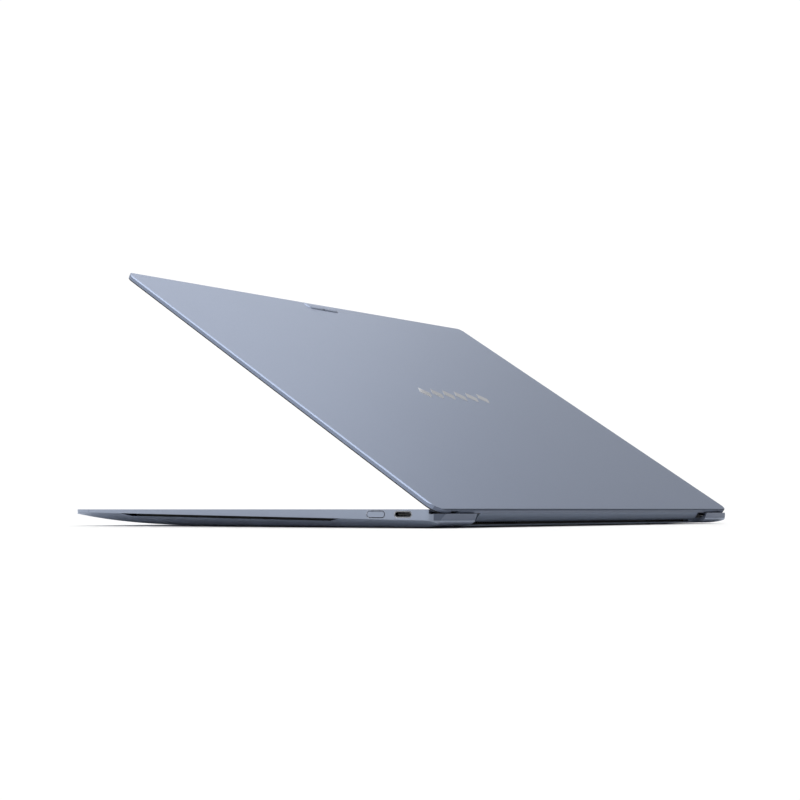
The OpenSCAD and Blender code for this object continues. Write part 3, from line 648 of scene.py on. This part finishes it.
@dataclass
class Studio:
    """Floor, light and camera."""

    lens_mm: float = 72.36
    yaw: float = 235.44
    pitch: float = 3.9
    stand: tuple[float, float] = (0.7311, 0.4872)
    drop_mm: float = 0.14
    lit_wall: float = 1.04
    dim_wall: float = 0.12
    ceiling: float = 0.42
    top_strength: float = 2.3
    key_strength: float = 0.62

    def build_floor(self) -> None:
        """Lays a wide pale floor under the feet."""
        finish = Finish("pale_floor", Tone.FLOOR, 0.7, 0.0, 400, 0.01, 2.0, 0.01, 0.03)
        shape = bmesh.new()
        bmesh.ops.create_grid(shape, x_segments=8, y_segments=8, size=12)
        mesh = bpy.data.meshes.new("floor")
        shape.to_mesh(mesh)
        shape.free()
        floor = bpy.data.objects.new("floor", mesh)
        bpy.context.scene.collection.objects.link(floor)
        put_on(floor, finish)

    def build_world(self) -> None:
        """Surrounds the scene with pale walls, lit on one side, and a dimmer ceiling."""
        world = bpy.data.worlds.new("studio")
        world.use_nodes = True
        bpy.context.scene.world = world
        tree = world.node_tree
        tree.nodes.clear()
        way = add_node(tree, "ShaderNodeTexCoord").outputs["Generated"]
        parts = add_node(tree, "ShaderNodeSeparateXYZ", {"Vector": way})
        # the walls in front of the computer are lit, and those behind it are left dim
        level = add_node(tree, "ShaderNodeMapRange", {
            "Value": parts.outputs["Y"], "From Min": 0.1, "From Max": -0.34,
            "To Min": self.dim_wall, "To Max": self.lit_wall}, interpolation_type="SMOOTHSTEP")
        # the ceiling is dimmer than the walls
        ceiling = add_node(tree, "ShaderNodeMapRange", {
            "Value": parts.outputs["Z"], "From Min": 0.3, "From Max": 0.5, "To Min": 1.0, "To Max": self.ceiling},
            interpolation_type="SMOOTHSTEP")
        total = add_node(tree, "ShaderNodeMath", {0: level.outputs["Result"], 1: ceiling.outputs["Result"]},
                         operation="MULTIPLY")
        sky = add_node(tree, "ShaderNodeBackground", {"Color": (1.0, 1.0, 1.0, 1.0), "Strength": total.outputs[0]})
        out = add_node(tree, "ShaderNodeOutputWorld")
        tree.links.new(sky.outputs[0], out.inputs["Surface"])

    def add_sun(self, name: str, source: tuple[float, float, float], spread: float, strength: float) -> None:
        """Hangs a broad, far light, which lights the whole floor alike.

        Args:
            name: The light's name.
            source: Direction that it comes from.
            spread: Its width in degrees, which sets how soft it is.
            strength: Its strength in watts per square metre.
        """
        light = bpy.data.lights.new(name, "SUN")
        light.angle = math.radians(spread)
        light.energy = strength
        lamp = bpy.data.objects.new(name, light)
        lamp.rotation_euler = Vector(source).to_track_quat("Z", "Y").to_euler()
        bpy.context.scene.collection.objects.link(lamp)

    def build_lights(self) -> None:
        """Hangs a very soft light overhead, and a smaller one high over the left front corner."""
        self.add_sun("top_light", (-0.1, 0.0, 1.0), 60.0, self.top_strength)
        self.add_sun("key_light", (-0.42, -0.53, 0.73), 62.0, self.key_strength)

    def build_camera(self) -> None:
        """Stands the camera behind the right side, level with the deck."""
        data = bpy.data.cameras.new("camera")
        data.lens = self.lens_mm
        data.sensor_width = 36.0
        camera = bpy.data.objects.new("camera", data)
        yaw, pitch = math.radians(self.yaw), math.radians(self.pitch)
        aim = Vector((math.sin(yaw) * math.cos(pitch), math.cos(yaw) * math.cos(pitch), math.sin(pitch)))
        camera.location = (self.stand[0], self.stand[1], DECK_Z - self.drop_mm * MM)
        camera.rotation_euler = aim.to_track_quat("-Z", "Y").to_euler()
        bpy.context.scene.collection.objects.link(camera)
        bpy.context.scene.camera = camera

    def build(self) -> None:
        """Builds the whole studio with a plain picture response."""
        bpy.context.scene.view_settings.view_transform = "Standard"
        self.build_camera()
        self.build_floor()
        self.build_world()
        self.build_lights()


def main() -> None:
    """Builds every sub-assembly in order."""
    Studio().build()
    for part in (BaseShell(), Keyboard(), Touchpad(), SideParts(), Inside(), Lid()):
        log.info("sub-assembly %s", type(part).__name__)
        part.build()


if __name__ == "__main__":
    main()
